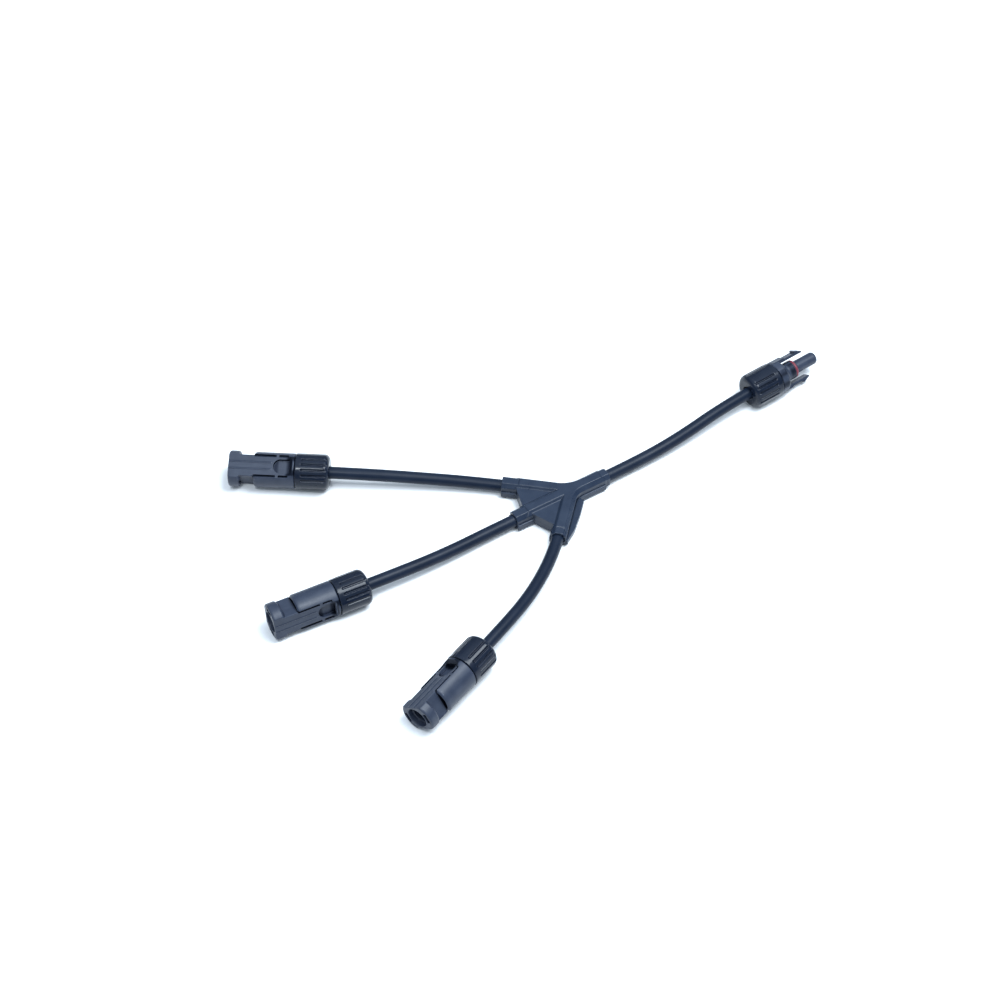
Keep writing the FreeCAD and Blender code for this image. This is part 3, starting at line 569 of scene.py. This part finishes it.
def cut_thread(table):
    """Rounded thread on the spigot, cut inwards from its outside."""
    x = table[:, 0]
    radius = np.hypot(table[:, 1], table[:, 2])
    outside = (radius > THREAD_BETWEEN_R[0]) & (radius < THREAD_BETWEEN_R[1])
    inside_length = np.clip((x - SPIGOT_FROM) / MM, 0, 1) * np.clip((SPIGOT_TO - x) / MM, 0, 1)
    turn = np.arctan2(table[:, 2], table[:, 1])
    wave = 0.5 - 0.5 * np.cos(2 * math.pi * x / THREAD_PITCH - turn)
    cut = THREAD_DEPTH * wave * inside_length * outside
    table[:, 1:] *= (1 - cut / np.maximum(radius, MM))[:, None]


def where_all(tree, first, *others):
    """Mask that holds only where all of the given masks hold."""
    for other in others:
        first = sums(tree, "MULTIPLY", first, other)
    return first


housing_skin, tree, shader = finish("housing_skin", gloss=0.28)
where = node(tree, "ShaderNodeAttribute", attribute_name="own_axes").outputs["Vector"]
grain = effect(tree, mould_grain, where, grain=6500.0, cloud_size=170.0)
wear_and_painted_light = effect(tree, wear_highlight_and_shade, where, reach=0.05, break_up=900.0)
specks = effect(tree, dust, where, amount=0.4)
flow = node(tree, "ShaderNodeMapping", {"Vector": where, "Scale": (60.0, 420.0, 420.0)}).outputs["Vector"]
streaks = node(tree, "ShaderNodeTexNoise", {"Vector": flow, "Scale": 1.0, "Detail": 4.0,
                                            "Distortion": 0.8}).outputs["Fac"]
tone = mixed(tree, grain.outputs["Cloud"], *HOUSING_TONES)
tone = mixed(tree, ranged(tree, streaks, 0.52, 0.75, 0.0, 0.6), tone, FLOW_STREAK)
axes = node(tree, "ShaderNodeSeparateXYZ", {0: where})
along = axes.outputs["X"]
across = sums(tree, "ABSOLUTE", axes.outputs["Y"], 0.0)
above = sums(tree, "ABSOLUTE", axes.outputs["Z"], 0.0)
# painted shade in the release slots and the thumb scoop
slot_shade = where_all(tree, ranged(tree, across, *SLOT_INNER), ranged(tree, above, *SLOT_BELOW),
                    ranged(tree, across, *SLOT_OUTER), ranged(tree, along, *SLOT_NOSE))
scoop_end_shade = where_all(tree, ranged(tree, along, *SCOOP_BACK, 0.0, SCOOP_SHADE_STRENGTH),
                      ranged(tree, above, *SCOOP_BELOW), ranged(tree, along, *SCOOP_NOSE),
                      ranged(tree, across, *SCOOP_SIDE))
scoop_rise_shade = where_all(tree, ranged(tree, along, *RISE_NOSE, 0.0, RISE_SHADE_STRENGTH),
                       ranged(tree, above, *RISE_BELOW), ranged(tree, across, *RISE_SIDE))
painted_shade = sums(tree, "MAXIMUM", sums(tree, "MAXIMUM", slot_shade, scoop_end_shade), scoop_rise_shade)
painted_shade = sums(tree, "MAXIMUM", painted_shade, wear_and_painted_light.outputs["Painted Shade"])
# painted shade in the slots, the scoop and the creases, with less shine there
tone = mixed(tree, painted_shade, tone, HOUSING_PAINTED_SHADE)
dim_shine_in_shade(tree, shader, painted_shade, 0.79)
# lighter edges: partly rubbed wear, partly a painted highlight
tone = mixed(tree, wear_and_painted_light.outputs["Mask"], tone, HOUSING_EDGE_WEAR_AND_HIGHLIGHT)
tone = mixed(tree, specks.outputs["Mask"], tone, HOUSING_DUST)
connect(tree, shader, tone, ranged(tree, streaks, 0.3, 0.7, 0.34, 0.46), grain.outputs["Height"],
        depth=0.000018)


def settle(piece, matrix):
    """Keeps a piece's own axes as an attribute for its finish, and moves its mesh into place."""
    own = piece.data.attributes.new("own_axes", "FLOAT_VECTOR", "POINT")
    own.data.foreach_set("vector", vertex_table(piece.data, "co").astype(np.float32).ravel())
    piece.data.transform(matrix)
    piece.matrix_world = Matrix.Identity(4)


pin_housing = rounded_moulding("pin_housing_a_shown", "pin_housing_a", seat("a"),
                               HOUSING_VOXEL, HOUSING_PASSES)
table = vertex_table(pin_housing.data, "co")
normals = vertex_table(pin_housing.data, "normal")
for x in FLAT_MARKS_X:
    disc_mark(table, normals, (x, 0.0, FLAT_LEVEL), -1, FLAT_MARK_R, FLAT_MARK_DEPTH)
cut_thread(table)
set_places(pin_housing.data, table)
pin_housing.data.materials.append(housing_skin)
shown_housings = {"a": pin_housing}
for key in ("b", "c"):
    shown_housings[key] = place("pin_housing_%s_shown" % key, pin_housing.data.copy())
for key, piece in shown_housings.items():
    settle(piece, seat(key))
    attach(piece, "lead")
    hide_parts("pin_housing_%s" % key)


# Socket-contact housing: a round collar, a cone down to the boss that carries the red face
# seal, and the long round probe that goes into a pin-contact housing.
SOCKET_VOXEL = 0.13 * MM
RING_TONES = ((0.115, 0.018, 0.030, 1), (0.160, 0.028, 0.042, 1))
socket_housing = rounded_moulding("socket_housing_d_shown", "socket_housing_d", seat("d"),
                                  SOCKET_VOXEL, HOUSING_PASSES)
table = vertex_table(socket_housing.data, "co")
cut_thread(table)
set_places(socket_housing.data, table)
socket_housing.data.materials.append(housing_skin)
settle(socket_housing, seat("d"))
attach(socket_housing, "lead")
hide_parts("socket_housing_d")
shown_housings["d"] = socket_housing

ring_skin, tree, shader = finish("face_seal_skin", gloss=0.3)
where = node(tree, "ShaderNodeTexCoord").outputs["Object"]
grain = effect(tree, mould_grain, where, grain=5200.0, cloud_size=260.0)
connect(tree, shader, mixed(tree, grain.outputs["Cloud"], *RING_TONES),
        ranged(tree, grain.outputs["Height"], 0.2, 0.8, 0.34, 0.50), grain.outputs["Height"],
        depth=0.00002)
dress(ring_skin, "o_ring_d")


# Latch arms: two springy arms of the same polyamide beside the probe, with arrow-shaped
# barbs that snap behind the head of a mating housing.
ARM_ROUNDING = 0.22 * MM
ARM_ROUNDING_STEPS = 4
ARM_TONES = ((0.0120, 0.0175, 0.0330, 1), (0.0170, 0.0235, 0.0410, 1))

arm_skin, tree, shader = finish("latch_arm_skin", gloss=0.28)
where = node(tree, "ShaderNodeTexCoord").outputs["Object"]
grain = effect(tree, mould_grain, where, grain=6500.0, cloud_size=240.0)
wear_and_painted_light = effect(tree, wear_highlight_and_shade, where, reach=0.08, break_up=1100.0)
tone = mixed(tree, grain.outputs["Cloud"], *ARM_TONES)
# lighter edges: partly rubbed wear, partly a painted highlight
tone = mixed(tree, wear_and_painted_light.outputs["Mask"], tone, HOUSING_EDGE_WEAR_AND_HIGHLIGHT)
connect(tree, shader, tone, ranged(tree, grain.outputs["Height"], 0.2, 0.8, 0.34, 0.46),
        grain.outputs["Height"], depth=0.000018)
for name in ("latch_arm_d_upper", "latch_arm_d_lower"):
    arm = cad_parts[name]
    arm.modifiers.new("weld", "WELD").merge_threshold = WELD_WITHIN
    flat = arm.modifiers.new("flat", "DECIMATE")
    flat.decimate_type = "DISSOLVE"
    edge = arm.modifiers.new("soft edges", "BEVEL")
    edge.width = ARM_ROUNDING
    edge.segments = ARM_ROUNDING_STEPS
    edge.harden_normals = True
    dress(arm_skin, name)


# Gland nuts: glossy black polyamide caps with a full-round rear shoulder and three groups of
# five finger grooves. They screw onto the housings' spigots and squeeze the seals.
NUT_R = 9.5 * MM
NUT_BORE_R = 7.83 * MM
NUT_HOLE_R = 3.6 * MM
NUT_FRONT = -0.3 * MM
NUT_STEP = -14.0 * MM
NUT_REAR = -18.0 * MM
NUT_CORNER_R = 3.0 * MM
NUT_LIP_R = 0.4 * MM
NUT_LIP = -16.8 * MM
NUT_CONE_R = (4.2 * MM, 6.0 * MM)
NUT_THREAD_DEPTH = 0.3 * MM
NUT_THREAD_ENTRY = 1.0 * MM
NUT_SHARP_ANGLE = math.radians(50)
NUT_TURN = {"a": -14.5, "b": 45.0, "c": 35.0, "d": 3.0}
GROOVE_FLOOR_R = 8.90 * MM
GROOVE_TO = -3.9 * MM
GROOVE_REACH = 0.80 * MM
GROOVE_PITCH = math.radians(18.4)
GROOVES_PER_GROUP = 5
GROOVE_GROUPS = 3
NUT_COLUMNS = 600
STATION = 0.28 * MM
SAME_PLACE = 0.01 * MM
GATE_AT_R = 5.4 * MM
GATE_TURN = math.radians(60.0)
GATE_REACH = 1.1 * MM
GATE_DEPTH = 0.25 * MM
NUT_TONES = ((0.0040, 0.0072, 0.0160, 1), (0.0065, 0.0105, 0.0210, 1))
NUT_SCUFF = (0.0150, 0.0200, 0.0330, 1)
# painted shade for grooves and corners, and an edge tone that is partly wear and partly a painted
# highlight
NUT_PAINTED_SHADE = (0.0010, 0.0022, 0.0060, 1)
NUT_EDGE_WEAR_AND_HIGHLIGHT = (0.032, 0.040, 0.062, 1)
NUT_DUST = (0.09, 0.10, 0.11, 1)


def run(start, end):
    """Evenly spaced profile points from one (x, radius) to another, without the last."""
    count = max(1, round(math.dist(start, end) / STATION))
    return [tuple(np.add(start, np.multiply(np.subtract(end, start), i / count))) for i in range(count)]


def corner(x, radius, r, start, end):
    """Round corner of a profile: r about (x, radius), from one angle in degrees to another."""
    count = max(3, round(abs(math.radians(end - start)) * r / STATION) * 2)
    angles = [math.radians(start + (end - start) * i / count) for i in range(count)]
    return [(x + r * math.cos(angle), radius + r * math.sin(angle)) for angle in angles]


def groove_depth(x, turn):
    """How far the finger grooves reach, from 0 to 1, at stations x and angles turn."""
    sector = 2 * math.pi / GROOVE_GROUPS
    half = (GROOVES_PER_GROUP - 1) / 2
    from_group = (turn - math.pi / 2 + sector / 2) % sector - sector / 2
    index = np.clip(np.round(from_group / GROOVE_PITCH), -half, half)
    across = (from_group - index * GROOVE_PITCH) * NUT_R
    beyond = np.maximum(x - GROOVE_TO, 0)
    away = np.clip((np.hypot(across, beyond) / GROOVE_REACH - 0.25) / 0.75, 0, 1)
    return 1 - away * away * (3 - 2 * away)


outside = (
    run((NUT_FRONT, NUT_BORE_R + NUT_LIP_R), (NUT_FRONT, NUT_R - NUT_LIP_R))
    + corner(NUT_FRONT - NUT_LIP_R, NUT_R - NUT_LIP_R, NUT_LIP_R, 0, 90)
    + run((NUT_FRONT - NUT_LIP_R, NUT_R), (NUT_REAR + NUT_CORNER_R, NUT_R))
    + corner(NUT_REAR + NUT_CORNER_R, NUT_R - NUT_CORNER_R, NUT_CORNER_R, 90, 180)
    + run((NUT_REAR, NUT_R - NUT_CORNER_R), (NUT_REAR, NUT_HOLE_R + NUT_LIP_R))
)
inside = (
    corner(NUT_REAR + NUT_LIP_R, NUT_HOLE_R + NUT_LIP_R, NUT_LIP_R, 180, 270)
    + run((NUT_REAR + NUT_LIP_R, NUT_HOLE_R), (NUT_LIP, NUT_HOLE_R))
    + run((NUT_LIP, NUT_HOLE_R), (NUT_LIP, NUT_CONE_R[0]))
    + run((NUT_LIP, NUT_CONE_R[0]), (NUT_STEP, NUT_CONE_R[1]))
    + run((NUT_STEP, NUT_CONE_R[1]), (NUT_STEP, NUT_BORE_R))
    + run((NUT_STEP, NUT_BORE_R), (NUT_FRONT - NUT_LIP_R, NUT_BORE_R))
    + corner(NUT_FRONT - NUT_LIP_R, NUT_BORE_R + NUT_LIP_R, NUT_LIP_R, 270, 360)
)
profile = np.array(outside + inside)
turn = np.linspace(0, 2 * math.pi, NUT_COLUMNS, endpoint=False)[None, :]
x = np.repeat(profile[:, :1], NUT_COLUMNS, axis=1)
radius = np.repeat(profile[:, 1:], NUT_COLUMNS, axis=1)
is_outside = (np.arange(len(profile)) < len(outside))[:, None]
radius -= is_outside * groove_depth(x, turn) * np.maximum(radius - GROOVE_FLOOR_R, 0)
bore = ~is_outside & (np.abs(radius - NUT_BORE_R) < SAME_PLACE) & (x > NUT_STEP + 0.2 * MM)
entry = np.clip((NUT_FRONT - NUT_THREAD_ENTRY - x) / MM, 0, 1)
wave = 0.5 - 0.5 * np.cos(2 * math.pi * x / THREAD_PITCH - turn)
radius += bore * entry * NUT_THREAD_DEPTH * wave

# the gate leaves a shallow round dimple in the rear face
from_gate = np.hypot(radius * np.cos(turn) - GATE_AT_R * math.cos(GATE_TURN),
                     radius * np.sin(turn) - GATE_AT_R * math.sin(GATE_TURN))
rear_face = is_outside * (x < NUT_REAR + SAME_PLACE)
x = x + rear_face * GATE_DEPTH * bell(from_gate, GATE_REACH)

places = np.stack([x, radius * np.cos(turn), radius * np.sin(turn)], axis=-1).reshape(-1, 3)
row = np.arange(len(profile))[:, None] * NUT_COLUMNS
next_row = np.roll(row, -1, axis=0)
column = np.arange(NUT_COLUMNS)[None, :]
next_column = np.roll(column, -1, axis=1)
faces = np.stack([row + column, next_row + column, next_row + next_column, row + next_column],
                 axis=-1).reshape(-1, 4)
nut_mesh = bpy.data.meshes.new("gland_nut")
nut_mesh.from_pydata(places.tolist(), [], faces.tolist())
nut_mesh.shade_smooth()
nut_mesh.set_sharp_from_angle(angle=NUT_SHARP_ANGLE)

nut_skin, tree, shader = finish("gland_nut_skin", gloss=0.21)
where = node(tree, "ShaderNodeAttribute", attribute_name="own_axes").outputs["Vector"]
grain = effect(tree, mould_grain, where, grain=5200.0, cloud_size=150.0)
wear_and_painted_light = effect(tree, wear_highlight_and_shade, where, reach=0.07, break_up=1300.0)
specks = effect(tree, dust, where, amount=0.45)
lengthwise = node(tree, "ShaderNodeMapping", {"Vector": where, "Scale": (130.0, 3000.0, 3000.0)})
scuffs = node(tree, "ShaderNodeTexNoise", {"Vector": lengthwise.outputs["Vector"], "Scale": 1.0,
                                           "Detail": 4.0, "Roughness": 0.7}).outputs["Fac"]
tone = mixed(tree, grain.outputs["Cloud"], *NUT_TONES)
tone = mixed(tree, ranged(tree, scuffs, 0.58, 0.8, 0.0, 0.7), tone, NUT_SCUFF)
# painted shade in the grooves and corners, with less shine there
tone = mixed(tree, wear_and_painted_light.outputs["Painted Shade"], tone, NUT_PAINTED_SHADE)
dim_shine_in_shade(tree, shader, wear_and_painted_light.outputs["Painted Shade"], 0.90)
# lighter edges: partly rubbed wear, partly a painted highlight
tone = mixed(tree, wear_and_painted_light.outputs["Mask"], tone, NUT_EDGE_WEAR_AND_HIGHLIGHT)
tone = mixed(tree, specks.outputs["Mask"], tone, NUT_DUST)
height = sums(tree, "ADD", sums(tree, "MULTIPLY", grain.outputs["Height"], 0.6),
              sums(tree, "MULTIPLY", scuffs, 0.4))
connect(tree, shader, tone, ranged(tree, scuffs, 0.3, 0.7, 0.13, 0.24), height, depth=0.000008)
nut_mesh.materials.append(nut_skin)

for key in CONNECTORS:
    nut = place("gland_nut_%s_shown" % key, nut_mesh.copy())
    settle(nut, seat(key) @ Matrix.Rotation(math.radians(NUT_TURN[key]), 4, "X"))
    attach(nut, "nut_%s" % key)
    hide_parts("gland_nut_%s" % key)
